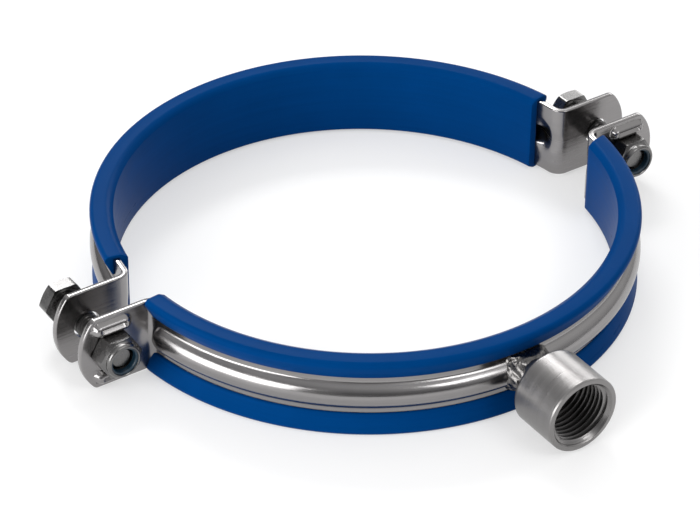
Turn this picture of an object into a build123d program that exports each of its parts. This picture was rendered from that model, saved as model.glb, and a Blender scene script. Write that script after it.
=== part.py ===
"""Two-piece pipe clamp: steel half bands with bolted ears, rubber linings and a threaded socket.

Frame: origin at the centre of the pipe bore at mid width, +Z along the bore, socket towards -Y,
bolted ears at -X (left) and +X (right). Millimetres.
"""

import os
from math import asin, cos, degrees, radians, sin, sqrt

from build123d import *

# Pipe and rubber lining
pipe_d = 160.0
lining_wall = 2.8  # rubber between the pipe and the band
lining_edge = 1.0  # rubber beyond each edge of the band
lip_t = 2.8  # rubber over the band's outer face, at the lining's edge
lip_edge_t = 0.5  # the same at the lip's thin inner edge
lip_gap = 13.3  # width of bare band between the lips
lining_bevel_r = 2.2  # bevel round the pipe's entry, across the wall
lining_bevel_w = 1.4  # bevel round the pipe's entry, along the bore
lining_round = 1.5
lining_entry_round = 0.7  # where the bevel meets the lining's edge
front_lining_stop = 0.85  # arc between the start of the bend and the front lining's end
back_lining_stop = 6.4  # the same at the back lining's end
front_lining_slip = 3.3  # arc by which the lining has slipped round its band, towards the left ears
back_lining_slip = 0.4

# Half bands
band_t = 2.0
band_w = 25.0
bead_h = 3.1
bead_w = 8.8
bead_hollow_w = 6.2
bead_shoulder = 0.68  # share of its height that the bead still has halfway down its side
bead_sink = 0.15  # depth at which the flare of the bead's root meets the sheet
ear_gap = 13.0  # between the inner faces of facing ears
bend_r = 2.5  # inside radius of the bend into an ear
nose_back = 2.2  # where the bead starts to round off, before the bend
scoop_r = 7.0
scoop_depth = 0.9
ear_past_bolt = 6.1  # from the bolt's axis to the ear's corners
ear_arc_rise = 4.9
ear_corner_round = 0.8
ear_hole_d = 9.2
rib_length = 12.9
rib_w = 3.8
rib_h = 2.4
rib_round = 1.3
rib_clearance = 0.3  # between a rib and the nut's flat
rib_groove_w = 1.4
rib_groove_length = 10.5

# Bolts and lock nuts
bolt_offset = 14.2  # from the band's outer face to the bolt's axis
bolt_d = 7.9
bolt_length = 32.4
bolt_end_chamfer = 0.9
head_standoff = 10.0  # free shank between the head and the back ear
hex_af = 13.0
head_h = 5.3
washer_face_d = 11.6
washer_face_h = 0.4
hex_margin = 0.1  # keeps the chamfering form clear of the hexagon's corners
hex_chamfer_d = 12.2
hex_chamfer_h = 0.8
nut_hex_h = 6.0
nut_h = 8.0
collar_d = 11.8
collar_round = 0.5
collar_lip_d = 9.4
collar_lip_t = 0.5
nut_ring_d = 10.6
nut_ring_t = 1.9
thread_clearance = 0.05

# Threaded socket, its neck and its weld
socket_d = 25.0
socket_length = 17.8
socket_edge = 0.5
socket_bore_r = 9.3
socket_bore_depth = 15.8
socket_sink_r = 10.9
socket_sink_depth = 1.6
neck_side_gap = 0.85  # between the neck and each lip
neck_length = 7.9  # from the bead's crest to the socket's rear face
weld_leg = 2.9  # along the band
weld_h = 6.4  # up the neck
weld_side_gap = 0.25  # between the weld and each lip

# Worked-out sizes
bore_r = pipe_d / 2
band_in_r = bore_r + lining_wall
band_out_r = band_in_r + band_t
bead_r = band_out_r + bead_h
lining_out_r = band_out_r + lip_t
half_band = band_w / 2
half_lining = half_band + lining_edge
half_lip_gap = lip_gap / 2
ear_in_y = ear_gap / 2
ear_out_y = ear_in_y + band_t
bend_y = ear_out_y + bend_r
bend_x = sqrt((band_out_r + bend_r) ** 2 - bend_y**2)
bend_start = degrees(asin(bend_y / (band_out_r + bend_r)))
nose_angle = bend_start + degrees(nose_back / band_out_r)
front_lining_end = bend_start + degrees(front_lining_stop / lining_out_r)
back_lining_end = bend_start + degrees(back_lining_stop / lining_out_r)
front_slip_angle = degrees(front_lining_slip / lining_out_r)
back_slip_angle = degrees(back_lining_slip / lining_out_r)
bolt_x = band_out_r + bolt_offset
ear_corner_x = bolt_x + ear_past_bolt
rib_z = hex_af / 2 + rib_clearance + rib_w / 2
hex_form_r = hex_af / sqrt(3) + hex_margin
thread_r = bolt_d / 2 + thread_clearance
head_y = ear_out_y + head_standoff
neck_d = lip_gap - 2 * neck_side_gap
socket_mouth_y = -bead_r - neck_length - socket_length


def radial_plane(angle):
    """The upright plane through the bore's axis whose x runs out at an angle in front of +X."""
    turn = radians(-angle)
    return Plane(origin=(0, 0, 0), x_dir=(cos(turn), sin(turn), 0), z_dir=(sin(turn), -cos(turn), 0))


def bead_side(face_r, width):
    """The bead's rounded side, from its crest down to the flare at its root, in (radius, z)."""
    return [
        (face_r + bead_h, 0),
        (face_r + bead_h * bead_shoulder, width / 4),
        (face_r - bead_sink, width / 2),
    ]


def bead_outline(face_r, width):
    """Section of the bead's bump above a cylinder of radius face_r, rooted in the sheet."""
    root = face_r - band_t / 2
    side = bead_side(face_r, width)
    with BuildLine() as outline:
        Spline(*side, tangents=[(0, 1), (0, 1)])
        Polyline(side[-1], (root, width / 2), (root, 0))
        mirror(about=Plane.XZ)
    return outline.edges()


def nose_outline(face_r, width):
    """Upper half of that section, to be turned into the bead's rounded end."""
    root = face_r - band_t / 2
    side = bead_side(face_r, width)
    with BuildLine() as outline:
        Spline(*side, tangents=[(0, 1), (0, 1)])
        Polyline(side[-1], (root, width / 2), (root, 0), side[0])
    return outline.edges()


def half_bead(face_r, width):
    """The +X half of the bead, ending in a rounded nose just before the bend."""
    nose = radial_plane(nose_angle)
    with BuildPart() as bead:
        with BuildSketch(nose):
            make_face(bead_outline(face_r, width))
        revolve(axis=Axis.Z, revolution_arc=nose_angle - 90)
        with BuildSketch(nose):
            make_face(nose_outline(face_r, width))
        revolve(axis=Axis((0, 0, 0), nose.x_dir))
    return bead.part


def band_form():
    """The outer form of the beaded band, filled in, which the socket's neck is cut to fit."""
    with BuildPart() as form:
        Cylinder(band_out_r, band_w)
        add(half_bead(band_out_r, bead_w))
        mirror(about=Plane.YZ)
    return form.part


def ear_outline():
    """Outline of an ear, from the end of its bend to its shallow-arced tip."""
    with BuildLine() as outline:
        ThreePointArc(
            (ear_corner_x, half_band),
            (ear_corner_x + ear_arc_rise, 0),
            (ear_corner_x, -half_band),
        )
        Polyline(
            (ear_corner_x, -half_band),
            (bend_x, -half_band),
            (bend_x, half_band),
            (ear_corner_x, half_band),
        )
    return outline.edges()


def bend_block():
    """The bend that joins the +X end of a front half band to its ear."""
    bend_plane = Plane(
        origin=(bend_x, -bend_y, 0),
        x_dir=(-cos(radians(bend_start)), sin(radians(bend_start)), 0),
        z_dir=(sin(radians(bend_start)), cos(radians(bend_start)), 0),
    )
    with BuildPart() as bend:
        with BuildSketch(bend_plane):
            with Locations((bend_r + band_t / 2, 0)):
                Rectangle(band_t, band_w)
        revolve(axis=Axis((bend_x, -bend_y, 0), (0, 0, 1)), revolution_arc=bend_start - 90)
    return bend.part


def half_sheet():
    """The +X half of a front half band: bent strip, bead, ear and its bolt hole."""
    scoop_reach = (bend_r + band_t + scoop_r - scoop_depth) / sqrt(2)
    with BuildPart() as sheet:
        with BuildSketch(radial_plane(bend_start)):
            with Locations((band_in_r + band_t / 2, 0)):
                Rectangle(band_t, band_w)
        revolve(axis=Axis.Z, revolution_arc=bend_start - 90)
        add(bend_block())
        with BuildSketch(Plane.XZ.offset(ear_in_y)):
            make_face(ear_outline())
            fillet(vertices().group_by(Axis.X)[-1], radius=ear_corner_round)
            with Locations((bolt_x, 0)):
                Circle(ear_hole_d / 2, mode=Mode.SUBTRACT)
        extrude(amount=band_t)
        add(half_bead(band_out_r, bead_w))
        add(half_bead(band_in_r, bead_hollow_w), mode=Mode.SUBTRACT)
        # The hollow waist where the bead runs out over the bend
        with Locations((bend_x - scoop_reach, -bend_y + scoop_reach, 0)):
            Sphere(scoop_r, mode=Mode.SUBTRACT)
    return sheet.part


def lining_outline():
    """Section of the lining: a wall against the pipe and two lips wrapped over the band's edges."""
    with BuildSketch() as section:
        with BuildLine():
            Polyline(
                (bore_r, 0),
                (bore_r, half_lining - lining_bevel_w),
                (bore_r + lining_bevel_r, half_lining),
                (lining_out_r, half_lining),
                (band_out_r + lip_edge_t, half_lip_gap),
                (band_out_r, half_lip_gap),
                (band_out_r, half_band),
                (band_in_r, half_band),
                (band_in_r, 0),
                close=True,
            )
        make_face()
        rim = vertices().group_by(Axis.Y)[-1]
        fillet(rim.sort_by(Axis.X)[-1], radius=lining_round)
        fillet(rim.sort_by(Axis.X)[0], radius=lining_entry_round)
        mirror(about=Plane.XZ)
    return section.sketch


def lining_arc(bare_end, slip_angle):
    """A front lining that stops short of the ears' line at both ends, slipped towards the left."""
    with BuildPart() as lining:
        with BuildSketch(radial_plane(bare_end + slip_angle)):
            add(lining_outline())
        revolve(axis=Axis.Z, revolution_arc=2 * bare_end - 180)
        add(mirror(bend_block(), about=Plane.YZ, mode=Mode.PRIVATE), mode=Mode.SUBTRACT)
    return lining.part


def turned_about_bolt(side, points):
    """A solid turned about the bolt's axis, from (radius, distance in front of the ears' line)."""
    axis_x = side * bolt_x
    with BuildPart() as turned:
        with BuildSketch(Plane.XY):
            with BuildLine():
                Polyline(*[(axis_x + r, -y) for r, y in points], close=True)
            make_face()
        revolve(axis=Axis((axis_x, 0, 0), (0, 1, 0)))
    return turned.part


def hex_bolt(side):
    """A fully threaded hex bolt, its head behind the back ear and its end in the lock nut."""
    top_y = head_y + head_h
    envelope = [
        (0, -head_y),
        (washer_face_d / 2, -head_y),
        (washer_face_d / 2, -head_y - washer_face_h),
        (hex_form_r, -head_y - washer_face_h),
        (hex_form_r, -top_y + hex_chamfer_h),
        (hex_chamfer_d / 2, -top_y),
        (0, -top_y),
    ]
    with BuildPart() as bolt:
        with BuildSketch(Plane.XZ.offset(-head_y)):
            with Locations((side * bolt_x, 0)):
                RegularPolygon(hex_af / 2, 6, major_radius=False)
        extrude(amount=-head_h)
        add(turned_about_bolt(side, envelope), mode=Mode.INTERSECT)
        with BuildSketch(Plane.XZ.offset(-head_y)):
            with Locations((side * bolt_x, 0)):
                Circle(bolt_d / 2)
        extrude(amount=bolt_length)
        chamfer(edges().group_by(Axis.Y)[0], length=bolt_end_chamfer)
    return bolt.part


def lock_nut(side):
    """A lock nut: chamfered hexagon with a turned-in collar that holds the nylon ring."""
    seat = ear_out_y
    envelope = [
        (0, seat),
        (hex_chamfer_d / 2, seat),
        (hex_form_r, seat + hex_chamfer_h),
        (hex_form_r, seat + nut_hex_h - hex_chamfer_h),
        (hex_chamfer_d / 2, seat + nut_hex_h),
        (0, seat + nut_hex_h),
    ]
    with BuildPart() as nut:
        with BuildSketch(Plane.XZ.offset(seat)):
            with Locations((side * bolt_x, 0)):
                RegularPolygon(hex_af / 2, 6, major_radius=False)
        extrude(amount=nut_hex_h)
        add(turned_about_bolt(side, envelope), mode=Mode.INTERSECT)
        with BuildSketch(Plane.XZ.offset(seat)):
            with Locations((side * bolt_x, 0)):
                Circle(collar_d / 2)
        extrude(amount=nut_h)
        fillet(edges().group_by(Axis.Y)[0], radius=collar_round)
        for hole_r, start, depth in (
            (thread_r, seat, nut_h),
            (nut_ring_d / 2, seat + nut_h - collar_lip_t - nut_ring_t, nut_ring_t),
            (collar_lip_d / 2, seat + nut_h - collar_lip_t, collar_lip_t),
        ):
            with BuildSketch(Plane.XZ.offset(start)):
                with Locations((side * bolt_x, 0)):
                    Circle(hole_r)
            extrude(amount=depth, mode=Mode.SUBTRACT)
    return nut.part


def nut_ring(side):
    """The nylon ring held in a lock nut's collar."""
    start = ear_out_y + nut_h - collar_lip_t - nut_ring_t
    with BuildPart() as ring:
        with BuildSketch(Plane.XZ.offset(start)):
            with Locations((side * bolt_x, 0)):
                Circle(nut_ring_d / 2)
                Circle(thread_r, mode=Mode.SUBTRACT)
        extrude(amount=nut_ring_t)
    return ring.part


def save(part, name):
    """Label a finished piece and write it as its own file."""
    part.label = name
    export_step(part, f"parts/{name}.step")


os.makedirs("parts", exist_ok=True)

# Front half band: the bent strip with a pressed rib on each side of each nut
with BuildPart() as front_band:
    add(half_sheet())
    with BuildSketch(Plane.XZ.offset(ear_out_y)):
        with Locations((bolt_x, rib_z), (bolt_x, -rib_z)):
            SlotOverall(rib_length, rib_w)
    ribs = extrude(amount=rib_h)
    fillet(ribs.edges().group_by(Axis.Y)[0], radius=rib_round)
    with BuildSketch(Plane.XZ.offset(ear_in_y)):
        with Locations((bolt_x, rib_z), (bolt_x, -rib_z)):
            SlotOverall(rib_groove_length, rib_groove_w)
    extrude(amount=rib_h, mode=Mode.SUBTRACT)
    mirror(about=Plane.YZ)
save(front_band.part, "front_band")

# Back half band: the same bent strip, turned to face it, with plain ears
with BuildPart() as back_band:
    add(mirror(half_sheet(), about=Plane.XZ, mode=Mode.PRIVATE))
    mirror(about=Plane.YZ)
save(back_band.part, "back_band")

with BuildPart() as front_lining:
    add(lining_arc(front_lining_end, front_slip_angle))
save(front_lining.part, "front_lining")

with BuildPart() as back_lining:
    add(mirror(lining_arc(back_lining_end, back_slip_angle), about=Plane.XZ, mode=Mode.PRIVATE))
save(back_lining.part, "back_lining")

# Socket: turned body with a blind tapped bore, on a neck that fits the beaded band
with BuildPart() as socket:
    with BuildSketch(Plane.XZ.offset(-socket_mouth_y)):
        Circle(socket_d / 2)
    extrude(amount=-socket_length)
    chamfer(edges().filter_by(GeomType.CIRCLE), length=socket_edge)
    with BuildSketch(Plane.XZ.offset(-socket_mouth_y - socket_length)):
        Circle(neck_d / 2)
    extrude(amount=socket_length + socket_mouth_y + band_in_r)
    with BuildSketch(Plane.XY):
        with BuildLine():
            Polyline(
                (0, socket_mouth_y),
                (socket_sink_r, socket_mouth_y),
                (socket_bore_r, socket_mouth_y + socket_sink_depth),
                (socket_bore_r, socket_mouth_y + socket_bore_depth),
                (0, socket_mouth_y + socket_bore_depth),
                close=True,
            )
        make_face()
    revolve(axis=Axis.Y, mode=Mode.SUBTRACT)
    add(band_form(), mode=Mode.SUBTRACT)
save(socket.part, "socket")

# Weld: a fillet round the neck's root, on the bare steel between the lips
with BuildPart() as socket_weld:
    with BuildSketch(Plane.XY):
        with BuildLine():
            Polyline(
                (neck_d / 2, -band_in_r),
                (neck_d / 2 + weld_leg, -band_in_r),
                (neck_d / 2 + weld_leg, -band_out_r),
                (neck_d / 2, -bead_r - weld_h),
                close=True,
            )
        make_face()
    revolve(axis=Axis.Y)
    Box(socket_d, 2 * -socket_mouth_y, lip_gap - 2 * weld_side_gap, mode=Mode.INTERSECT)
    add(band_form(), mode=Mode.SUBTRACT)
save(socket_weld.part, "socket_weld")

for side, name in ((-1, "left"), (1, "right")):
    save(hex_bolt(side), f"{name}_bolt")
    save(lock_nut(side), f"{name}_nut")
    save(nut_ring(side), f"{name}_nut_ring")
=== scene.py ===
"""The rubber lined pipe clamp, with its threads, finishes and stage.

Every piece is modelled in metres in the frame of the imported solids: the pipe bore along Z, the
threaded socket towards -Y and the bolted ears at -X and +X. Each operator models one piece, or a
group of like pieces, from the sizes in its property group.
"""

import math

import bmesh
import bpy
from mathutils import Matrix, Vector, noise


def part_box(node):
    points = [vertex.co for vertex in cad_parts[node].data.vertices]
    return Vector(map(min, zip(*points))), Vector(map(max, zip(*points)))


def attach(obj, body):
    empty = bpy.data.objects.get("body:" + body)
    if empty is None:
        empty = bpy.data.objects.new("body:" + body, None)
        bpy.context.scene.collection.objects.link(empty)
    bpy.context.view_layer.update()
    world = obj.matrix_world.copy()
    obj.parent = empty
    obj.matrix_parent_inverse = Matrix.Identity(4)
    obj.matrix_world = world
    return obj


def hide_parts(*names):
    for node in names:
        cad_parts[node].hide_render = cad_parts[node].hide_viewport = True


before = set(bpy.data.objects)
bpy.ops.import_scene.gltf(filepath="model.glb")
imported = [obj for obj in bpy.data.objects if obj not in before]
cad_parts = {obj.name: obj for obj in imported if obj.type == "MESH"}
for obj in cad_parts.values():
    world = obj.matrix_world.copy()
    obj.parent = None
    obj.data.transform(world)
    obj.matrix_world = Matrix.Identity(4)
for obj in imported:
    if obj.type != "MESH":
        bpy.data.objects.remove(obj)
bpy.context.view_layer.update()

bl_info = {
    "name": "Rubber lined pipe clamp",
    "version": (1, 0, 0),
    "blender": (4, 5, 0),
    "location": "3D View > Sidebar > Pipe clamp",
    "description": "Models a two-piece pipe clamp with rubber linings, bolts and a threaded socket",
    "category": "Object",
}

MM = 0.001
SIDES = {"left": -1, "right": 1}
MERGE = 1e-7  # vertices closer than this are made one
TINY = 1e-6  # for telling whether a vertex lies on a plane or a ring
TURNED_STEPS = 96  # round a turned piece


# ---------------------------------------------------------------- sizes and colours


def length(label, about, millimetres):
    """A length that the user can change, in metres."""
    return bpy.props.FloatProperty(
        name=label, description=about, default=millimetres * MM, min=0.0,
        unit="LENGTH", subtype="DISTANCE", precision=5,
    )


def view_angle(label, about, radians):
    """An angle that the user can change."""
    return bpy.props.FloatProperty(
        name=label, description=about, default=radians, unit="ROTATION", subtype="ANGLE"
    )


def colour(label, about, rgb):
    """A colour that the user can change."""
    return bpy.props.FloatVectorProperty(
        name=label, description=about, default=rgb, min=0.0, max=1.0, size=3, subtype="COLOR"
    )


class ClampLiningSizes(bpy.types.PropertyGroup):
    """Sizes and colour of the two rubber linings."""

    bore_radius: length("Bore radius", "Radius of the pipe that the linings grip", 80.0)
    wall: length("Wall", "Rubber between the pipe and the band", 2.8)
    lip_thickness: length("Lip thickness", "Rubber over the band's outer face", 2.8)
    lip_edge: length("Lip edge", "The lip's thickness at its thin inner edge", 0.5)
    lip_gap: length("Lip gap", "Width of bare band between the lips", 13.3)
    half_width: length("Half width", "Half of the lining's width along the bore", 13.5)
    bevel_radial: length("Bevel across", "Bevel at the pipe's entry, across the wall", 2.2)
    bevel_axial: length("Bevel along", "Bevel at the pipe's entry, along the bore", 1.4)
    outer_round: length("Outer round", "Rounding of the lips' outer edges", 1.5)
    soft_edge: length("Soft edge", "Rounding of the other edges", 0.35)
    front_stop: length("Front stop", "Arc from the bend to the front lining's end", 0.85)
    back_stop: length("Back stop", "Arc from the bend to the back lining's end", 6.4)
    front_slip: length("Front slip", "Arc that the front lining has slipped towards the left", 3.3)
    back_slip: length("Back slip", "Arc that the back lining has slipped towards the left", 0.4)
    front_lean: length("Front lean", "Lean of the front lining's right end, from bore to lip", 2.8)
    lean_reach: length("Lean reach", "Arc over which the lean fades out", 12.0)
    rubber: colour("Rubber", "Colour of the silicone rubber", (0.0003, 0.041, 0.17))


class ClampBandSizes(bpy.types.PropertyGroup):
    """Sizes and colour of the two steel half bands."""

    thickness: length("Thickness", "Thickness of the strip", 2.0)
    inner_radius: length("Inner radius", "Radius of the strip's face on the rubber", 82.8)
    half_width: length("Half width", "Half of the strip's width", 12.5)
    bead_height: length("Bead height", "Height of the pressed bead", 3.1)
    bead_width: length("Bead width", "Width of the pressed bead at its root", 8.8)
    ear_gap: length("Ear gap", "Gap between facing ears", 13.0)
    bend_radius: length("Bend radius", "Inside radius of the bend into an ear", 2.5)
    bolt_offset: length("Bolt offset", "From the band's outer face to the bolt's axis", 14.2)
    ear_past_bolt: length("Ear past bolt", "From the bolt's axis to the ear's corners", 6.1)
    ear_arc_rise: length("Ear arc rise", "Rise of the ear's arced tip", 4.9)
    ear_hole_radius: length("Ear hole radius", "Clearance hole for the bolt", 4.6)
    rib_length: length("Rib length", "Length of a pressed rib on a front ear", 12.9)
    rib_width: length("Rib width", "Width of a pressed rib", 4.4)
    rib_height: length("Rib height", "Height of a pressed rib", 2.4)
    rib_offset: length("Rib offset", "From the bolt's axis to a rib's middle", 8.7)
    steel: colour("Steel", "Colour of the bright strip", (0.3, 0.291, 0.29))


class ClampFastenerSizes(bpy.types.PropertyGroup):
    """Sizes and colours of the bolts and the lock nuts."""

    thread_radius: length("Thread radius", "Crest radius of the bolt's thread", 3.95)
    thread_root: length("Thread root", "Root radius of the bolt's thread", 3.2)
    thread_pitch: length("Thread pitch", "Pitch of the bolt's thread", 1.25)
    bolt_length: length("Bolt length", "Length of the bolt under its head", 32.4)
    end_chamfer: length("End chamfer", "Chamfer at the bolt's end", 0.9)
    head_standoff: length("Head stand-off", "Free shank between the head and the back ear", 10.0)
    across_flats: length("Across flats", "Width of the hexagons across their flats", 13.0)
    head_height: length("Head height", "Height of the bolt's head", 5.3)
    washer_face_radius: length("Washer face", "Radius of the face under the head", 5.8)
    washer_face_height: length("Washer face height", "Height of the face under the head", 0.4)
    chamfer_radius: length("Chamfer radius", "Radius of the flat inside a hexagon's chamfer", 6.1)
    chamfer_height: length("Chamfer height", "Height of a hexagon's chamfer", 0.8)
    nut_hex_height: length("Nut hexagon", "Height of the nut's hexagon", 6.0)
    nut_height: length("Nut height", "Whole height of the nut", 8.0)
    collar_radius: length("Collar radius", "Radius of the nut's collar", 5.9)
    collar_mouth: length("Collar mouth", "Radius of the mouth that the collar turns in to", 4.7)
    ring_radius: length("Ring radius", "Outer radius of the nylon ring", 5.3)
    ring_depth: length("Ring depth", "From the nut's top to the ring's face", 0.5)
    ring_thickness: length("Ring thickness", "Thickness of the nylon ring", 1.9)
    steel: colour("Steel", "Colour of the fasteners", (0.195, 0.192, 0.19))
    nylon: colour("Nylon", "Colour of the nut's ring", (0.006, 0.028, 0.05))


class ClampSocketSizes(bpy.types.PropertyGroup):
    """Sizes and colours of the threaded socket and its weld."""

    radius: length("Radius", "Outside radius of the socket", 12.5)
    body_length: length("Length", "Length of the socket's body", 17.8)
    neck_length: length("Neck length", "From the bead's crest to the socket's rear face", 7.9)
    neck_radius: length("Neck radius", "Radius of the neck on the band", 5.8)
    edge: length("Edge chamfer", "Chamfer of the socket's outer edges", 0.5)
    sink_radius: length("Countersink radius", "Radius of the countersink at the mouth", 10.9)
    sink_depth: length("Countersink depth", "Depth of the countersink", 1.6)
    thread_minor: length("Thread crest", "Radius at the crests of the thread", 9.3)
    thread_major: length("Thread root", "Radius at the roots of the thread", 10.45)
    thread_pitch: length("Thread pitch", "Pitch of the thread", 1.814)
    bore_depth: length("Bore depth", "Depth of the tapped bore from the mouth", 15.8)
    weld_leg: length("Weld leg", "Width of the weld along the band", 2.9)
    weld_height: length("Weld height", "Height of the weld up the neck", 6.4)
    weld_room: length("Weld room", "Half of the bare strip's width that the weld may use", 6.35)
    steel: colour("Steel", "Colour of the turned socket", (0.25, 0.243, 0.24))
    weld: colour("Weld", "Colour of the weld", (0.2, 0.192, 0.187))


def sizes(name):
    """The scene's property group of that name."""
    return getattr(bpy.context.scene, f"clamp_{name}")


# ---------------------------------------------------------------- shared modelling helpers


def placed(name, data):
    """A new object in the scene."""
    made = bpy.data.objects.new(name, data)
    bpy.context.scene.collection.objects.link(made)
    return made


def finished(bm, name, body, nodes, material, sharp=35.0):
    """Turn a bmesh into a named piece that rides on a body and stands for CAD nodes."""
    mesh = bpy.data.meshes.new(name)
    bmesh.ops.remove_doubles(bm, verts=bm.verts, dist=MERGE)
    bmesh.ops.dissolve_degenerate(bm, edges=bm.edges, dist=MERGE)
    bmesh.ops.recalc_face_normals(bm, faces=bm.faces)
    for face in bm.faces:
        face.smooth = True
    bm.to_mesh(mesh)
    bm.free()
    mesh.set_sharp_from_angle(angle=math.radians(sharp))
    piece = placed(name, mesh)
    mesh.materials.append(material)
    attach(piece, body)
    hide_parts(*nodes)
    return piece


def everything(bm):
    """All of a bmesh's parts."""
    return bm.verts[:] + bm.edges[:] + bm.faces[:]


def outline(bm, x, points):
    """An open chain of edges through (radius, y) points about the axis at x."""
    verts = [bm.verts.new((x + radius, y, 0.0)) for radius, y in points]
    return verts + [bm.edges.new(pair) for pair in zip(verts, verts[1:])]


def turned(bm, x, points, steps=TURNED_STEPS):
    """A full turn of an open outline of (radius, y) points about the axis at x, along Y."""
    bmesh.ops.spin(
        bm, geom=outline(bm, x, points), cent=(x, 0, 0), axis=(0, 1, 0), angle=math.tau,
        steps=steps, use_merge=True,
    )


def arc_points(cx, cy, radius, start, end, count):
    """Points on an arc, from a start to an end angle in degrees."""
    step = (end - start) / count
    angles = [math.radians(start + step * i) for i in range(count + 1)]
    return [(cx + radius * math.cos(a), cy + radius * math.sin(a)) for a in angles]


def smooth_step(x):
    """0 below 0, 1 above 1, and a smooth ease between."""
    x = min(max(x, 0.0), 1.0)
    return x * x * (3.0 - 2.0 * x)


# ---------------------------------------------------------------- shaders

STREAK_SHARE, BLOTCH_SHARE = 0.55, 0.45  # of the streaks and the blotches in the surface grain
BLOTCH_SCALE = 60.0
NOISE_RANGE = (0.3, 0.7)  # where most of a noise texture's values lie


def wired(tree, kind, operation=None, **values):
    """A node whose inputs take plain values, or read the sockets of other nodes.

    An input is named with _ for each space, or with _ and its number.
    """
    node = tree.nodes.new(f"ShaderNode{kind}")
    if operation:
        node.operation = operation
    for name, value in values.items():
        entry = node.inputs[int(name[1:]) if name[1:].isdigit() else name.replace("_", " ")]
        if isinstance(value, bpy.types.NodeSocket):
            tree.links.new(value, entry)
        else:
            entry.default_value = value
    return node


def ranged(tree, value, low, high):
    """Map a noise value to a range, given as sockets or numbers."""
    node = wired(
        tree, "MapRange", Value=value, From_Min=NOISE_RANGE[0], From_Max=NOISE_RANGE[1],
        To_Min=low, To_Max=high,
    )
    return node.outputs["Result"]


def surface_grain():
    """Group: streaks stretched along the work, with the tone, roughness and height they give."""
    tree = bpy.data.node_groups.new("Surface grain", "ShaderNodeTree")
    for side, name, kind, value in (
        ("INPUT", "Vector", "Vector", None), ("INPUT", "Stretch", "Vector", (1.0, 1.0, 1.0)),
        ("INPUT", "Color", "Color", (0.5, 0.5, 0.5, 1.0)), ("INPUT", "Shade", "Float", 0.8),
        ("INPUT", "Rough Low", "Float", 0.2), ("INPUT", "Rough High", "Float", 0.4),
        ("OUTPUT", "Color", "Color", None), ("OUTPUT", "Roughness", "Float", None),
        ("OUTPUT", "Height", "Float", None),
    ):
        kind = f"NodeSocket{kind}"
        socket = tree.interface.new_socket(name=name, in_out=side, socket_type=kind)
        if value is not None:
            socket.default_value = value
    entry, result = tree.nodes.new("NodeGroupInput"), tree.nodes.new("NodeGroupOutput")
    taken, given = entry.outputs, result.inputs
    stretch = wired(tree, "VectorMath", "MULTIPLY", _0=taken["Vector"], _1=taken["Stretch"])
    streaks = wired(
        tree, "TexNoise", Vector=stretch.outputs["Vector"], Scale=1.0, Detail=3.0, Roughness=0.6
    )
    blotches = wired(
        tree, "TexNoise", Vector=taken["Vector"], Scale=BLOTCH_SCALE, Detail=4.0, Roughness=0.55
    )
    rest = wired(tree, "Math", "MULTIPLY", _0=blotches.outputs["Fac"], _1=BLOTCH_SHARE)
    both = wired(
        tree, "Math", "MULTIPLY_ADD", _0=streaks.outputs["Fac"], _1=STREAK_SHARE,
        _2=rest.outputs["Value"],
    ).outputs["Value"]
    tone = ranged(tree, both, taken["Shade"], 1.0)
    shade = wired(tree, "VectorMath", "SCALE", _0=taken["Color"], Scale=tone)
    rough = ranged(tree, both, taken["Rough Low"], taken["Rough High"])
    tree.links.new(shade.outputs["Vector"], given["Color"])
    tree.links.new(rough, given["Roughness"])
    tree.links.new(streaks.outputs["Fac"], given["Height"])
    return tree


def grained_material(name, rgb, shade, stretch, rough, bump, metallic=1.0, **shader):
    """A material whose colour, roughness and bump come from the surface grain group."""
    material = bpy.data.materials.new(name)
    material.use_nodes = True
    material.diffuse_color = (*rgb, 1.0)
    tree = material.node_tree
    grain = tree.nodes.new("ShaderNodeGroup")
    grain.node_tree = bpy.data.node_groups.get("Surface grain") or surface_grain()
    tree.links.new(wired(tree, "TexCoord").outputs["Object"], grain.inputs["Vector"])
    for socket, value in (
        ("Stretch", stretch), ("Color", (*rgb, 1.0)), ("Shade", shade), ("Rough Low", rough[0]),
        ("Rough High", rough[1]),
    ):
        grain.inputs[socket].default_value = value
    relief = wired(tree, "Bump", Distance=bump, Height=grain.outputs["Height"])
    entries = tree.nodes["Principled BSDF"].inputs
    tree.links.new(grain.outputs["Color"], entries["Base Color"])
    tree.links.new(grain.outputs["Roughness"], entries["Roughness"])
    tree.links.new(relief.outputs["Normal"], entries["Normal"])
    entries["Metallic"].default_value = metallic
    for socket, value in shader.items():
        entries[socket.replace("_", " ")].default_value = value
    return material


# ---------------------------------------------------------------- linings

LIP_FLAT = 0.4 * MM  # straight stretch below the lip's outer round
LIP_CLEARANCE = 0.01 * MM  # keeps the lip's inner corner off the band's face
LINING_STEPS = 160  # round a lining's arc
END_CORNER = 1.2  # radians; only the edges of a lining's ends are sharper


def lip_side(size, band):
    """Upper half of the lining's section, from the bore over the lip, in (radius, z)."""
    bore, top, gap = size.bore_radius, size.half_width, size.lip_gap / 2
    soft, rounded = size.soft_edge, size.outer_round
    band_out = outer_radius(band)
    outer = band_out + size.lip_thickness
    bevel_top, bevel_low = bore + size.bevel_radial, top - size.bevel_axial
    slope_end = (band_out + size.lip_edge, gap + soft * 0.4)
    return [
        (bore, 0.0), (bore, bevel_low - soft), (bore + soft * 0.35, bevel_low + soft * 0.3),
        (bevel_top - soft * 1.4, top - soft * 0.9), (bevel_top, top - soft * 0.15),
        (bevel_top + soft * 1.6, top),
        *arc_points(outer - rounded, top - rounded, rounded, 90, 2, 8),
        (outer, top - rounded - LIP_FLAT), (slope_end[0] + soft * 0.5, slope_end[1] + soft),
        slope_end, (band_out + soft * 0.3, gap), (band_out + LIP_CLEARANCE, gap),
    ]


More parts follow.
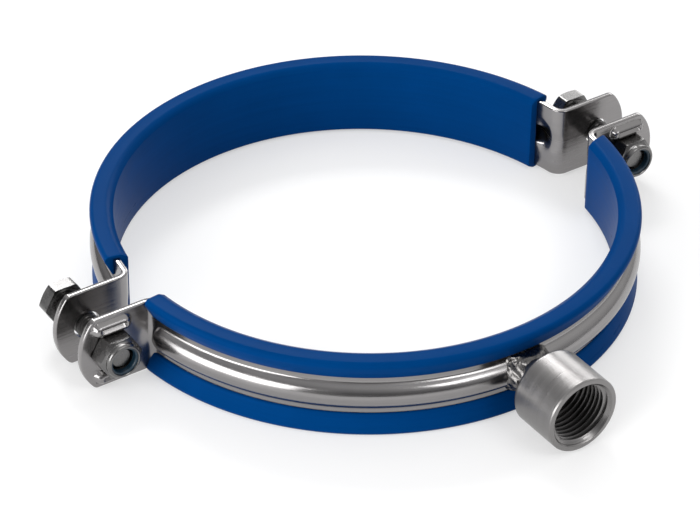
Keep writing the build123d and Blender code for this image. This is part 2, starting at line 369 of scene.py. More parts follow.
def lining_section(size, band):
    """The whole C section of a lining, as a loop of (radius, z)."""
    side = lip_side(size, band)
    band_in = band.inner_radius
    inside = [(side[-1][0], band.half_width), (band_in, band.half_width), (band_in, 0.0)]
    upper = side + inside
    lower = [(r, -z) for r, z in reversed(upper) if abs(z) > TINY]
    return upper + lower


def lean_end(bm, start, lean, size, lip_radius):
    """Lean a lining's right end, so that its lip reaches further towards the ear than its bore."""
    for vert in bm.verts:
        radius = math.hypot(vert.co.x, vert.co.y)
        angle = math.atan2(vert.co.y, vert.co.x)
        share = (radius - size.bore_radius) / (lip_radius - size.bore_radius)
        fade = 1.0 - smooth_step(abs(angle - start) * lip_radius / size.lean_reach)
        angle += lean / lip_radius * share * fade
        vert.co.x, vert.co.y = radius * math.cos(angle), radius * math.sin(angle)


def lining(name, half, stop, slip, lean, size, band, material):
    """One lining: its section swept round the bore between its two ends."""
    lip_radius = size.bore_radius + size.wall + band.thickness + size.lip_thickness
    bare = bend_start(band) + stop / lip_radius
    bm = bmesh.new()
    start = half * (bare + slip / lip_radius)
    turn = Matrix.Rotation(start, 3, "Z")
    section = lining_section(size, band)
    bm.faces.new([bm.verts.new(turn @ Vector((r, 0.0, z))) for r, z in section])
    bmesh.ops.spin(
        bm, geom=everything(bm), cent=(0, 0, 0), axis=(0, 0, 1), steps=LINING_STEPS,
        angle=half * (math.pi - 2 * bare),
    )
    lean_end(bm, start, lean, size, lip_radius)
    bmesh.ops.recalc_face_normals(bm, faces=bm.faces)
    ends = [
        e for e in bm.edges if len(e.link_faces) == 2 and e.calc_face_angle(0.0) > END_CORNER
        and any(len(f.verts) > 4 for f in e.link_faces)
    ]
    bmesh.ops.bevel(
        bm, geom=ends, offset=size.soft_edge, segments=2, profile=0.5, affect="EDGES",
        material=-1, clamp_overlap=True,
    )
    return finished(
        bm, f"{name}_lining_rubber", f"{name}_half", [f"{name}_lining"],
        material, sharp=50.0,
    )


class CLAMP_OT_linings(bpy.types.Operator):
    """Model the two rubber linings, wrapped over the edges of the half bands"""

    bl_idname = "clamp.linings"
    bl_label = "Rubber linings"

    def execute(self, context):
        size, band = sizes("lining"), sizes("band")
        rubber = grained_material(
            "Silicone rubber", tuple(size.rubber), shade=0.82, stretch=(14.0, 14.0, 700.0),
            rough=(0.26, 0.36), bump=0.01 * MM, metallic=0.0, Specular_IOR_Level=0.018,
            Specular_Tint=(0.1, 0.45, 1.0, 1.0),
        )
        for half, name, stop, slip, lean in (
            (-1, "front", size.front_stop, size.front_slip, size.front_lean),
            (1, "back", size.back_stop, size.back_slip, 0.0),
        ):
            lining(name, half, stop, slip, lean, size, band, rubber)
        return {"FINISHED"}


# ---------------------------------------------------------------- half bands


def outer_radius(band):
    """Radius of the strip's outer face."""
    return band.inner_radius + band.thickness


def bend_start(band):
    """Angle from the ears' line to the start of the bend, about the bore."""
    bend_y = band.ear_gap / 2 + band.thickness + band.bend_radius
    return math.asin(bend_y / (outer_radius(band) + band.bend_radius))


def rounded_ridge(height, width, distance, fillet):
    """Height of a pressed ridge of round section at a distance from its middle."""
    round_share, slope_past = 0.995, 4.0
    crown = (width * width / 4 + height * height) / (2 * height)
    reach = min(distance, crown * round_share)
    rise = height - crown + math.sqrt(crown * crown - reach * reach)
    rise -= max(distance - reach, 0.0) * slope_past
    return 0.5 * (rise + math.sqrt(rise * rise + fillet * fillet))


class StripForm:
    """The front right half strip's path, and the heights pressed into it."""

    nose_back = 3.1 * MM  # from the bead's rounded end to the start of the bend
    root_fillet = 0.7 * MM  # how softly the bead's sides run into the sheet
    waist_height, waist_width = 0.9 * MM, 4.2 * MM  # the swelling that carries the bead on
    waist_middle, waist_reach = 0.62, 0.75  # its place and reach, as shares of the bend
    corner_round = 0.8 * MM  # of an ear's tip
    hollow_start, hollow_blend = 7 * MM, 5 * MM  # where the hollow starts to widen, and how fast
    hollow_end = 0.95  # share of the bend at which it has run out
    hollow_width = 8.0 * MM  # half its width where it widens
    hollow_neck = 0.7  # share of the bead's width before that
    hollow_depth = 0.85  # share of the bead's height
    crease_depth, crease_width = 1.1 * MM, 0.65 * MM
    crease_out = 0.35 * MM  # from a rib's middle line outwards
    crease_reach = 0.3  # half its length, as a share of the rib's
    groove_width, groove_short = 2.0 * MM, 2.4 * MM  # of a rib's hollow side, shorter by this
    groove_depth = 0.8  # share of the rib's height
    rib_fillet, groove_fillet = 0.45 * MM, 0.2 * MM
    rim_round, rim_reach = 0.22 * MM, 0.25 * MM  # rounding of the strip's cut edges

    def __init__(self, band, ribs):
        self.band = band
        self.ribs = ribs
        self.outer = outer_radius(band)
        self.start = bend_start(band)
        self.arc = self.outer * (math.pi / 2 - self.start)
        self.bend = band.bend_radius * (math.pi / 2 - self.start)
        self.nose = self.arc - self.nose_back
        to_centre = self.outer + band.bend_radius
        self.centre = Vector((math.cos(self.start), -math.sin(self.start))) * to_centre
        ear_start = math.cos(self.start) * to_centre
        self.bolt = self.arc + self.bend + (self.outer + band.bolt_offset) - ear_start

    def path(self, along):
        """Point and outward normal on the outer face, at an arc length from -Y."""
        if along <= self.arc:
            angle = along / self.outer - math.pi / 2
            normal = Vector((math.cos(angle), math.sin(angle)))
            return normal * self.outer, normal
        turn = (along - self.arc) / self.band.bend_radius
        if turn <= math.pi / 2 - self.start:
            angle = self.start + turn
            normal = Vector((math.cos(angle), -math.sin(angle)))
            return self.centre - normal * self.band.bend_radius, normal
        past = along - self.arc - self.bend
        return self.centre + Vector((past, self.band.bend_radius)), Vector((0.0, -1.0))

    def tip(self, across):
        """The arc length at which the ear ends, for a place across its width."""
        band = self.band
        half, rise, corner = band.half_width, band.ear_arc_rise, self.corner_round
        sweep = (half * half + rise * rise) / (2 * rise)
        end = self.bolt + band.ear_past_bolt + rise - sweep + math.sqrt(sweep**2 - across**2)
        into = abs(across) - (half - corner)
        if into > 0:
            end -= corner - math.sqrt(max(corner**2 - into**2, 0.0))
        return end

    def bead(self, along, across):
        """Height of the bead, which ends in a rounded nose at the bend."""
        band = self.band
        past = max(along - self.nose, 0.0)
        distance = math.hypot(across, past)
        height = rounded_ridge(band.bead_height, band.bead_width, distance, self.root_fillet)
        waist = math.exp(-((across / self.waist_width) ** 2))
        middle = (along - self.arc - self.bend * self.waist_middle) / (self.bend * self.waist_reach)
        return max(height, 0.0) + self.waist_height * waist * math.exp(-middle * middle)

    def hollow(self, along, across):
        """Depth of the bead's hollow on the pipe's side, which widens and runs out to a point."""
        band = self.band
        start = self.arc - self.hollow_start
        channel = rounded_ridge(
            band.bead_height, band.bead_width * self.hollow_neck, abs(across), self.root_fillet
        )
        reach = max(along - start, 0.0) / (self.arc + self.bend * self.hollow_end - start)
        spread = math.hypot(across / self.hollow_width, reach)
        dent = band.bead_height * self.hollow_depth * (1.0 - smooth_step(spread))
        blend = smooth_step((along - start) / self.hollow_blend)
        return channel * (1.0 - blend) + dent * blend

    def crease(self, along, across):
        """Depth of the crease along the outer side of each rib's crest."""
        if not self.ribs:
            return 0.0
        band = self.band
        past = max(abs(along - self.bolt) - band.rib_length * self.crease_reach, 0.0)
        distance = math.hypot(past, abs(across) - band.rib_offset - self.crease_out)
        return self.crease_depth * math.exp(-((distance / self.crease_width) ** 2))

    def rib(self, along, across, width, reach, height, fillet):
        """Height of the two ribs pressed beside the bolt hole, or of their hollow side."""
        if not self.ribs:
            return 0.0
        past = max(abs(along - self.bolt) - (reach - width) / 2, 0.0)
        distance = math.hypot(past, abs(across) - self.band.rib_offset)
        return rounded_ridge(height, width, distance, fillet)


def strip_spacing(form):
    """Arc lengths of the strip's cross lines, and places across its width of its long lines."""
    before_bend, past_bolt = 9 * MM, 4.9 * MM
    steps = [0.0]
    for end, count in (
        (form.arc - before_bend, 84), (form.arc, 20), (form.arc + form.bend, 16),
        (form.bolt + past_bolt, 44),
    ):
        first = steps[-1]
        steps += [first + (end - first) * (i + 1) / count for i in range(count)]
    even, gaps = 11.7 * MM, 52
    across = [-even + 2 * even * i / gaps for i in range(gaps + 1)]
    rim = [form.band.half_width - inset * MM for inset in (0.5, 0.25, 0.08, 0.0)]
    return steps, [-place for place in reversed(rim)] + across + rim


def strip_half(form):
    """The right half of a front strip: a flat grid of arc length and width, cut and bent."""
    band = form.band
    steps, across = strip_spacing(form)
    tip_shares = [0.12, 0.25, 0.4, 0.55, 0.7, 0.82, 0.91, 0.96, 0.985, 1.0]
    columns = len(steps) + len(tip_shares)
    bm = bmesh.new()
    bmesh.ops.create_grid(bm, x_segments=columns - 1, y_segments=len(across) - 1, size=1.0)
    last = steps[-1]
    for vert in bm.verts:
        column = round((vert.co.x + 1) / 2 * (columns - 1))
        width = across[round((vert.co.y + 1) / 2 * (len(across) - 1))]
        if column < len(steps):
            place = steps[column]
        else:
            place = last + (form.tip(width) - last) * tip_shares[column - len(steps)]
        vert.co = (place, width, 0.0)
    hole = Vector((form.bolt, 0.0, 0.0))
    inside = [f for f in bm.faces if (f.calc_center_median() - hole).length < band.ear_hole_radius]
    bmesh.ops.delete(bm, geom=inside, context="FACES")
    round_hole = band.ear_hole_radius * 1.25
    for vert in bm.verts:
        if vert.is_boundary and (vert.co - hole).length < round_hole:
            vert.co = hole + (vert.co - hole).normalized() * band.ear_hole_radius
    made = bmesh.ops.extrude_face_region(bm, geom=bm.faces[:], use_keep_orig=True)
    inner = {g for g in made["geom"] if isinstance(g, bmesh.types.BMVert)}
    for vert in bm.verts:
        bend_vertex(vert, form, vert in inner)
    return bm


def bend_vertex(vert, form, inner):
    """Move one vertex of the flat strip to its place on the bent and pressed one."""
    band = form.band
    along, across = vert.co.x, vert.co.y
    rim = min(band.half_width - abs(across), form.tip(across) - along)
    ease = form.rim_round * max(1.0 - rim / form.rim_reach, 0.0) ** 2
    outside = form.bead(along, across)
    outside += form.rib(
        along, across, band.rib_width, band.rib_length, band.rib_height, form.rib_fillet
    )
    outside -= form.crease(along, across)
    if inner:
        height = form.hollow(along, across)
        height += form.rib(
            along, across, form.groove_width, band.rib_length - form.groove_short,
            band.rib_height * form.groove_depth, form.groove_fillet,
        )
        height = min(height - band.thickness, outside - band.thickness * 0.5) + ease
    else:
        height = outside - ease
    point, normal = form.path(along)
    point = point + normal * height
    vert.co = (point.x, point.y, across)


def half_band(name, half, ribs, material):
    """One half band: the strip's right half, mirrored, and turned to the back if asked."""
    bm = strip_half(StripForm(sizes("band"), ribs))
    middle = [f for f in bm.faces if all(abs(v.co.x) < TINY for v in f.verts)]
    bmesh.ops.delete(bm, geom=middle, context="FACES_ONLY")
    bmesh.ops.mirror(bm, geom=everything(bm), axis="X", merge_dist=TINY)
    if half > 0:
        about = Matrix.Rotation(math.pi, 3, "Z")
        bmesh.ops.rotate(bm, verts=bm.verts, cent=(0, 0, 0), matrix=about)
    return finished(
        bm, f"{name}_band_strip", f"{name}_half", [f"{name}_band"], material,
        sharp=40.0,
    )


class CLAMP_OT_bands(bpy.types.Operator):
    """Model the two steel half bands, with their pressed bead, bent ears and ribs"""

    bl_idname = "clamp.bands"
    bl_label = "Steel half bands"

    def execute(self, context):
        steel = grained_material(
            "Bright strip", tuple(sizes("band").steel), shade=0.84, stretch=(20.0, 20.0, 1400.0),
            rough=(0.14, 0.3), bump=0.02 * MM,
        )
        half_band("front", -1, True, steel)
        half_band("back", 1, False, steel)
        return {"FINISHED"}


# ---------------------------------------------------------------- bolts and lock nuts

HEX_MARGIN = 0.1 * MM  # how far the turned form stands outside the hexagon's corners
CORNER_ROUND = 0.12 * MM  # taken off the hexagon's corners, and eased at its chamfer
SHANK_SINK = 0.2 * MM  # how far the shank runs into the head
NUT_CLEARANCE = 0.05 * MM  # between the thread's crest and the nut
RING_STEPS = 72  # round a nylon ring


def threaded_wall(bm, centre_x, start_y, end_y, crest, root, pitch, land=0.08, steps=48):
    """A screw-swept thread about the bolt's or socket's axis, cut off square at both ends.

    land is half the width of its flat crest, as a share of the pitch.
    """
    first = start_y - pitch
    turns = math.ceil((end_y - start_y) / pitch) + 2
    groove = (
        (root, 0.0), (root, 0.1), (crest, 0.5 - land), (crest, 0.5 + land), (root, 0.9),
        (root, 1.0),
    )
    bmesh.ops.spin(
        bm, geom=outline(bm, centre_x, [(r, first + pitch * share) for r, share in groove]),
        cent=(centre_x, 0, 0), axis=(0, 1, 0), dvec=(0, pitch / steps, 0),
        angle=math.tau * turns, steps=steps * turns,
    )
    bmesh.ops.remove_doubles(bm, verts=bm.verts, dist=pitch * 0.01)
    for place, facing in ((start_y, -1), (end_y, 1)):
        bmesh.ops.bisect_plane(
            bm, geom=everything(bm), dist=1e-8, plane_co=(centre_x, place, 0),
            plane_no=(0, facing, 0), clear_outer=True,
        )


def limit_radius(verts, centre_x, limit, inside=False):
    """Hold vertices on or inside a cone about the axis, or on or outside it."""
    for vert in verts:
        offset = Vector((vert.co.x - centre_x, vert.co.z))
        bound = limit(vert.co.y)
        if (offset.length < bound) if inside else (offset.length > bound):
            offset = offset.normalized() * bound
            vert.co.x, vert.co.z = centre_x + offset.x, offset.y


def open_loop(bm, place):
    """The boundary edges that lie in the plane y = place."""
    rim = [edge for edge in bm.edges if edge.is_boundary]
    return [edge for edge in rim if all(abs(vert.co.y - place) < TINY for vert in edge.verts)]


def fill_end(bm, place):
    """Close the opening in the plane y = place with one flat face."""
    bmesh.ops.contextual_create(bm, geom=open_loop(bm, place))


def hexed(bm, centre_x, form_r, across_flats, chamfers):
    """Press the widest part of a form turned about a bolt into a chamfered hexagon.

    chamfers gives, for the y of each of the form's widest rings, the radius of its chamfer's rim
    and the step from that rim to the ring.
    """
    flat = across_flats / 2
    corner = flat / math.cos(math.pi / 6) - CORNER_ROUND
    for vert in bm.verts:
        offset = Vector((vert.co.x - centre_x, vert.co.z))
        if offset.length < form_r - TINY:
            continue
        angle = math.atan2(offset.y, offset.x)
        swing = (angle - math.pi / 6) % (math.pi / 3)
        swing = abs(swing - math.pi / 6)
        radius = min(flat / math.cos(math.pi / 6 - swing), corner)
        near = min(chamfers, key=lambda y: abs(y - vert.co.y))
        rim_radius, step = chamfers[near]
        vert.co.y = near - step * (form_r - radius) / (form_r - rim_radius)
        offset = offset.normalized() * radius
        vert.co.x, vert.co.z = centre_x + offset.x, offset.y


def bolt(side, x, size, band, material):
    """One hex bolt: chamfered head, washer face and a thread along the whole shank."""
    base = band.ear_gap / 2 + band.thickness + size.head_standoff
    top = base + size.head_height
    form_r = size.across_flats / math.sqrt(3) + HEX_MARGIN
    face_y = base + size.washer_face_height
    rim_y = top - size.chamfer_height
    form = [
        (0.0, base), (size.washer_face_radius, base), (size.washer_face_radius, face_y),
        (form_r, face_y), (form_r, rim_y),
        (size.chamfer_radius + CORNER_ROUND, top - 0.05 * MM),
        (size.chamfer_radius - CORNER_ROUND, top), (0.0, top),
    ]
    head = bmesh.new()
    turned(head, x, form)
    chamfers = {face_y: (0.0, 0.0), rim_y: (size.chamfer_radius, -size.chamfer_height)}
    hexed(head, x, form_r, size.across_flats, chamfers)
    shank = bmesh.new()
    end, back = base - size.bolt_length, base + SHANK_SINK
    threaded_wall(
        shank, x, end, back, size.thread_radius, size.thread_root, size.thread_pitch, land=0.13
    )
    small = size.thread_radius - size.end_chamfer
    limit_radius(shank.verts, x, lambda y: small + max(y - end, 0.0))
    fill_end(shank, end)
    fill_end(shank, back)
    shank_mesh = bpy.data.meshes.new("shank")
    shank.to_mesh(shank_mesh)
    shank.free()
    head.from_mesh(shank_mesh)
    bpy.data.meshes.remove(shank_mesh)
    name = f"{side}_bolt"
    return finished(head, f"{name}_threaded", name, [name], material)


def nut(side, x, size, band, material):
    """One lock nut: chamfered hexagon with a domed collar turned in over the nylon ring."""
    seat = -(band.ear_gap / 2 + band.thickness)
    top = seat - size.nut_hex_height
    end = seat - size.nut_height
    form_r = size.across_flats / math.sqrt(3) + HEX_MARGIN
    collar, mouth, dome = size.collar_radius, size.collar_mouth, 0.9 * MM
    ring_face = end + size.ring_depth
    ring_back = ring_face + size.ring_thickness
    bore = size.thread_radius + NUT_CLEARANCE
    domed = [(collar - dome + r, end + dome - y) for r, y in arc_points(0, 0, dome, 0, 90, 6)]
    form = [
        (bore, seat), (size.chamfer_radius, seat), (form_r, seat - size.chamfer_height),
        (form_r, top + size.chamfer_height), (size.chamfer_radius, top),
        (collar + 0.25 * MM, top - 0.02 * MM), (collar, top - 0.3 * MM), *domed,
        (mouth + CORNER_ROUND, end + 0.02 * MM), (mouth, end + 0.15 * MM), (mouth, ring_face),
        (size.ring_radius, ring_face), (size.ring_radius, ring_back), (bore, ring_back),
        (bore, seat),
    ]
    bm = bmesh.new()
    turned(bm, x, form)
    step = size.chamfer_height
    chamfers = {seat - step: (size.chamfer_radius, -step), top + step: (size.chamfer_radius, step)}
    hexed(bm, x, form_r, size.across_flats, chamfers)
    return finished(bm, f"{side}_nut_hexagon", "front_half", [f"{side}_nut"], material)


def nut_ring(side, x, size, band, material):
    """The nylon ring in a lock nut's collar, slightly dished where the bolt has pushed through."""
    seat = -(band.ear_gap / 2 + band.thickness)
    face = seat - size.nut_height + size.ring_depth
    back = face + size.ring_thickness
    bore, outer = size.thread_radius + NUT_CLEARANCE, size.ring_radius - 0.02 * MM
    form = [
        (bore, back), (bore, face + 0.35 * MM), (bore + 0.2 * MM, face + 0.08 * MM),
        (bore + 0.5 * MM, face), (outer, face), (outer, back), (bore, back),
    ]
    bm = bmesh.new()
    turned(bm, x, form, RING_STEPS)
    name = f"{side}_nut_ring"
    return finished(bm, f"{name}_nylon", "front_half", [name], material)


class CLAMP_OT_fasteners(bpy.types.Operator):
    """Model the bolts, the lock nuts and their nylon rings"""

    bl_idname = "clamp.fasteners"
    bl_label = "Bolts and lock nuts"

    def execute(self, context):
        size, band = sizes("fastener"), sizes("band")
        steel = grained_material(
            "Fastener steel", tuple(size.steel), shade=0.75, stretch=(300.0, 300.0, 300.0),
            rough=(0.2, 0.34), bump=0.01 * MM,
        )
        nylon = grained_material(
            "Lock ring nylon", tuple(size.nylon), shade=0.8, stretch=(200.0, 200.0, 200.0),
            rough=(0.3, 0.42), bump=0.01 * MM, metallic=0.0,
        )
        bolt_x = outer_radius(band) + band.bolt_offset
        for side, sign in SIDES.items():
            bolt(side, sign * bolt_x, size, band, steel)
            nut(side, sign * bolt_x, size, band, steel)
            nut_ring(side, sign * bolt_x, size, band, nylon)
        return {"FINISHED"}


# ---------------------------------------------------------------- socket and weld

WELD_RINGS, WELD_STEPS, WELD_SPACING = 16, 144, 0.2 * MM  # of the flat ring that the weld starts as
WELD_RIPPLES = 13  # round the weld
WELD_UNEVEN, WELD_SWEEP = 3.0, 9.0  # how unevenly they are spaced, and swept back outwards
WELD_LUMPS = 4.5  # scale of the noise that makes it lumpy
WELD_CROWN, WELD_HOLLOW = 0.8, 1.5  # height of the fillet at the neck, and how it falls away
RIPPLE_HEIGHT, LUMP_HEIGHT = 0.55, 0.7  # in millimetres
WELD_SINK = 0.3 * MM  # of the weld's rim into the strip


def socket_outline(size, crest_y):
    """The socket's outside, from the rim of its mouth back to its neck, as (radius, y)."""
    rear = crest_y - size.neck_length
    mouth = rear - size.body_length
    edge = size.edge
    return [
        (size.radius - edge, mouth), (size.radius - edge * 0.3, mouth + edge * 0.3),
        (size.radius, mouth + edge), (size.radius, mouth + edge * 1.6),
        (size.radius, rear - edge * 2.2), (size.radius, rear - edge * 1.6),
        (size.radius - edge * 0.6, rear - edge * 0.4), (size.radius - edge * 1.8, rear),
        (size.neck_radius + 0.6 * MM, rear), (size.neck_radius, rear + 0.6 * MM),
        (size.neck_radius, crest_y + 4 * MM),
    ]


def socket_body(size, band, material):
    """The turned socket: its outside, its neck, and a tapped bore with a countersink."""
    outside = socket_outline(size, -(outer_radius(band) + band.bead_height))
    mouth = outside[0][1]
    bottom = mouth + size.bore_depth
    bm = bmesh.new()
    threaded_wall(
        bm, 0.0, mouth, bottom, size.thread_minor, size.thread_major, size.thread_pitch,
        steps=TURNED_STEPS,
    )
    slope = (size.sink_radius - size.thread_minor) / size.sink_depth
    limit_radius(
        bm.verts, 0.0, lambda y: size.sink_radius - max(y - mouth, 0.0) * slope, inside=True
    )
    fill_end(bm, bottom)
    rim = [(size.sink_radius, mouth), (size.sink_radius + 0.2 * MM, mouth)]
    turned(bm, 0.0, rim + outside)
    fill_end(bm, outside[-1][1])
    return finished(bm, "socket_turned", "front_half", ["socket"], material)


def weld_bead(size, band, material):
    """The weld round the neck's root: a fillet that follows the bead, laid in ripples."""
    bm = bmesh.new()
    first = size.neck_radius + 0.1 * MM
    turned(bm, 0.0, [(first + i * WELD_SPACING, 0.0) for i in range(WELD_RINGS)], WELD_STEPS)
    bmesh.ops.remove_doubles(bm, verts=bm.verts, dist=MERGE)
    width = (WELD_RINGS - 1) * WELD_SPACING
    for vert in bm.verts:
        share = (math.hypot(vert.co.x, vert.co.z) - size.neck_radius) / width
        share = min(max(share, 0.0), 1.0)
        lay_weld(vert, share, math.atan2(vert.co.z, vert.co.x), size, band)
    return finished(
        bm, "socket_weld_bead", "front_half", ["socket_weld"], material, sharp=70.0
    )


def lay_weld(vert, share, angle, size, band):
    """Lay one vertex of the weld's flat ring on the band, at its height up the neck."""
    turn = WELD_RIPPLES * angle + WELD_UNEVEN * math.sin(2 * angle) + WELD_SWEEP * share
    ripple = 0.5 + 0.5 * math.cos(turn)
    lump = noise.noise(Vector((math.cos(angle), math.sin(angle), share)) * WELD_LUMPS)
    reach = size.neck_radius + share * (size.weld_leg + 0.2 * MM * ripple + 0.3 * MM * lump)
    x = reach * math.cos(angle)
    z = max(-size.weld_room, min(size.weld_room, reach * math.sin(angle)))
    bead = rounded_ridge(band.bead_height, band.bead_width, abs(z), StripForm.root_fillet)
    outer = outer_radius(band)
    surface = math.sqrt(max(outer * outer - x * x, 0.0)) + max(bead, 0.0)
    crown = (1 - share) ** WELD_HOLLOW * size.weld_height * WELD_CROWN
    rough = RIPPLE_HEIGHT * ripple + LUMP_HEIGHT * lump
    crown += rough * MM * math.sin(math.pi * share) ** 0.7
    vert.co = (x, -(surface + crown - WELD_SINK * share ** 4), z)


class CLAMP_OT_socket(bpy.types.Operator):
    """Model the threaded socket and the weld that holds it to the front half band"""

    bl_idname = "clamp.socket"
    bl_label = "Threaded socket"

    def execute(self, context):
        size, band = sizes("socket"), sizes("band")
        steel = grained_material(
            "Turned steel", tuple(size.steel), shade=0.8, stretch=(40.0, 2600.0, 40.0),
            rough=(0.22, 0.42), bump=0.03 * MM,
        )
        weld = grained_material(
            "Weld steel", tuple(size.weld), shade=0.5, stretch=(900.0, 900.0, 900.0),
            rough=(0.14, 0.4), bump=0.2 * MM,
        )
        socket_body(size, band, steel)
        weld_bead(size, band, weld)
        return {"FINISHED"}


# ---------------------------------------------------------------- stage

LAMPS = (  # name, place and size in metres, power in watts
    ("Back softbox", (0.45, 1.2, 1.2), (0.7, 0.35), 11.0),
    ("Right softbox", (1.4, 1.0, 0.7), (0.8, 0.8), 7.0),
    ("Front fill", (0.3, -1.5, 1.5), (0.8, 0.6), 8.0),
    ("Left softbox", (-1.4, -0.1, 0.46), (1.3, 0.85), 22.0),
)
ROOM_BRIGHT_SIDE = (0.4, 0.1, 0.8)
ROOM_LEVELS = (  # how far towards the bright side, and the colour there
    (0.0, (0.2, 0.2, 0.205, 1.0)), (0.35, (0.5, 0.5, 0.51, 1.0)), (0.75, (0.85, 0.85, 0.85, 1.0)),
)
FLOOR_GLOW = 0.45  # share of plain white in the floor where it is seen or reflected
FLOOR_HALF = 6.0


class ClampStageSettings(bpy.types.PropertyGroup):
    """The floor, the lights and the camera."""

    floor: colour("Floor", "Colour of the floor", (0.96, 0.96, 0.96))
    camera_azimuth: view_angle(
        "Camera azimuth", "Where the camera stands round the clamp", math.radians(-35.0)
    )
    camera_elevation: view_angle(
        "Camera elevation", "How high the camera stands", math.radians(34.756)
    )
    camera_distance: length("Camera distance", "From the clamp's middle to the camera", 981.6)
    camera_yaw: view_angle("Camera yaw", "Turn of the view to the left", 0.00484)
    camera_pitch: view_angle("Camera pitch", "Turn of the view upwards", -0.00847)
    camera_roll: view_angle("Camera roll", "Turn of the view about its middle", -0.01477)
    camera_lens: bpy.props.FloatProperty(
        name="Camera lens", description="Focal length in millimetres", default=157.74
    )


def place_camera(stage):
    """The camera, aimed at the middle of the clamp and then turned by its yaw, pitch and roll."""
    azimuth, elevation = stage.camera_azimuth, stage.camera_elevation
    flat = math.cos(elevation)
    spot = Vector((math.sin(azimuth) * flat, -math.cos(azimuth) * flat, math.sin(elevation)))
    ahead = -spot
    right = ahead.cross(Vector((0, 0, 1))).normalized()
    up = right.cross(ahead)
    yaw = Matrix.Rotation(stage.camera_yaw, 3, up)
    ahead, right = yaw @ ahead, yaw @ right
    pitch = Matrix.Rotation(stage.camera_pitch, 3, right)
    ahead, up = pitch @ ahead, pitch @ up
    roll = Matrix.Rotation(stage.camera_roll, 3, ahead)
    right, up = roll @ right, roll @ up
    data = bpy.data.cameras.new("Camera")
    data.sensor_width = 36.0
    data.lens = stage.camera_lens
    data.clip_start, data.clip_end = 0.01, 20.0
    camera = placed("Camera", data)
    turn = Matrix((right, up, -ahead)).transposed().to_4x4()
    camera.matrix_world = Matrix.Translation(spot * stage.camera_distance) @ turn
    bpy.context.scene.camera = camera


def area_light(name, place, size, power):
    """A soft rectangular lamp aimed at the middle of the clamp."""
    data = bpy.data.lights.new(name, "AREA")
    data.shape, data.size, data.size_y, data.energy = "RECTANGLE", size[0], size[1], power
    lamp = placed(name, data)
    lamp.location = place
    lamp.rotation_mode = "QUATERNION"
    lamp.rotation_quaternion = (-Vector(place)).to_track_quat("-Z", "Y")


def backdrop_world():
    """A soft room, bright overhead on the right and darker towards the horizon."""
    world = bpy.data.worlds.new("Studio")
    bpy.context.scene.world = world
    world.use_nodes = True
    tree = world.node_tree
    here = wired(tree, "TexCoord").outputs["Generated"]
    towards = wired(tree, "VectorMath", "DOT_PRODUCT", _0=here, _1=ROOM_BRIGHT_SIDE)
    level = wired(tree, "ValToRGB", Fac=towards.outputs["Value"])
    stops = level.color_ramp.elements
    stops.new(0.5)
    for stop, (position, tone) in zip(stops, ROOM_LEVELS):
        stop.position, stop.color = position, tone
    tree.links.new(level.outputs["Color"], tree.nodes["Background"].inputs["Color"])


def floor_paint(rgb):
    """A pale floor that takes the shadow, whitened where it is seen or reflected."""
    paint = bpy.data.materials.new("Pale floor")
    paint.use_nodes = True
    tree = paint.node_tree
    shader = tree.nodes["Principled BSDF"]
    shader.inputs["Base Color"].default_value = (*rgb, 1.0)
    shader.inputs["Roughness"].default_value = 0.9
    shader.inputs["Specular IOR Level"].default_value = 0.1
    rays = wired(tree, "LightPath").outputs
    seen = rays["Is Camera Ray"]
    for ray in ("Is Glossy Ray", "Is Transmission Ray"):
        seen = wired(tree, "Math", "MAXIMUM", _0=seen, _1=rays[ray]).outputs["Value"]
    share = wired(tree, "Math", "MULTIPLY", _0=seen, _1=FLOOR_GLOW)
    mixed = wired(
        tree, "MixShader", Fac=share.outputs["Value"], _1=shader.outputs["BSDF"],
        _2=wired(tree, "Emission").outputs["Emission"],
    )
    surface = tree.nodes["Material Output"].inputs["Surface"]
    tree.links.new(mixed.outputs["Shader"], surface)
    return paint


def floor_sheet(low, paint):
    """The flat floor that the clamp lies on."""
    bm = bmesh.new()
    bmesh.ops.create_grid(bm, x_segments=1, y_segments=1, size=FLOOR_HALF)
    bmesh.ops.translate(bm, verts=bm.verts, vec=(0, 0, low))
    bmesh.ops.recalc_face_normals(bm, faces=bm.faces)
    mesh = bpy.data.meshes.new("floor")
    bm.to_mesh(mesh)
    bm.free()
    mesh.materials.append(paint)
    return placed("floor", mesh)


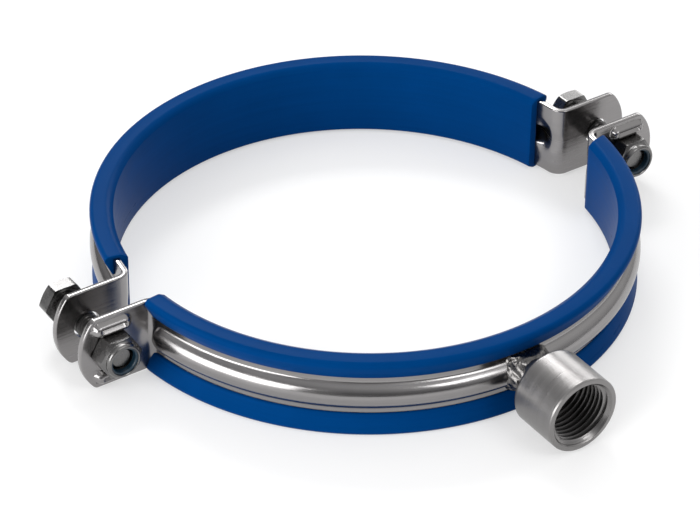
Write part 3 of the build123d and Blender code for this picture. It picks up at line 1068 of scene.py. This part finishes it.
class CLAMP_OT_stage(bpy.types.Operator):
    """Build the floor, the lights, the pale world and the camera"""

    bl_idname = "clamp.stage"
    bl_label = "Stage"

    def execute(self, context):
        stage = sizes("stage")
        context.scene.view_settings.view_transform = "Standard"
        low = min(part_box(node)[0].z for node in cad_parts)
        floor_sheet(low, floor_paint(stage.floor))
        backdrop_world()
        for name, place, size, power in LAMPS:
            area_light(name, place, size, power)
        place_camera(stage)
        return {"FINISHED"}


# ---------------------------------------------------------------- panel and registration


class CLAMP_PT_panel(bpy.types.Panel):
    """The clamp's pieces and their sizes, in the sidebar"""

    bl_idname = "CLAMP_PT_panel"
    bl_label = "Rubber lined pipe clamp"
    bl_space_type = "VIEW_3D"
    bl_region_type = "UI"
    bl_category = "Pipe clamp"

    def draw(self, context):
        for name, (_, operator) in PARTS.items():
            box = self.layout.box()
            box.operator(operator.bl_idname)
            group = sizes(name)
            for key in group.bl_rna.properties.keys():
                if key not in {"rna_type", "name"}:
                    box.prop(group, key)


PARTS = {
    "lining": (ClampLiningSizes, CLAMP_OT_linings),
    "band": (ClampBandSizes, CLAMP_OT_bands),
    "fastener": (ClampFastenerSizes, CLAMP_OT_fasteners),
    "socket": (ClampSocketSizes, CLAMP_OT_socket),
    "stage": (ClampStageSettings, CLAMP_OT_stage),
}


def register():
    """Register the property groups, the operators and the panel."""
    for name, (group, operator) in PARTS.items():
        bpy.utils.register_class(group)
        bpy.utils.register_class(operator)
        setattr(bpy.types.Scene, f"clamp_{name}", bpy.props.PointerProperty(type=group))
    bpy.utils.register_class(CLAMP_PT_panel)


def unregister():
    """Take them out again."""
    bpy.utils.unregister_class(CLAMP_PT_panel)
    for name, (group, operator) in reversed(list(PARTS.items())):
        delattr(bpy.types.Scene, f"clamp_{name}")
        bpy.utils.unregister_class(operator)
        bpy.utils.unregister_class(group)


def main():
    """Model every piece and build the stage."""
    register()
    bpy.ops.clamp.linings()
    bpy.ops.clamp.bands()
    bpy.ops.clamp.fasteners()
    bpy.ops.clamp.socket()
    bpy.ops.clamp.stage()


if __name__ == "__main__":
    main()
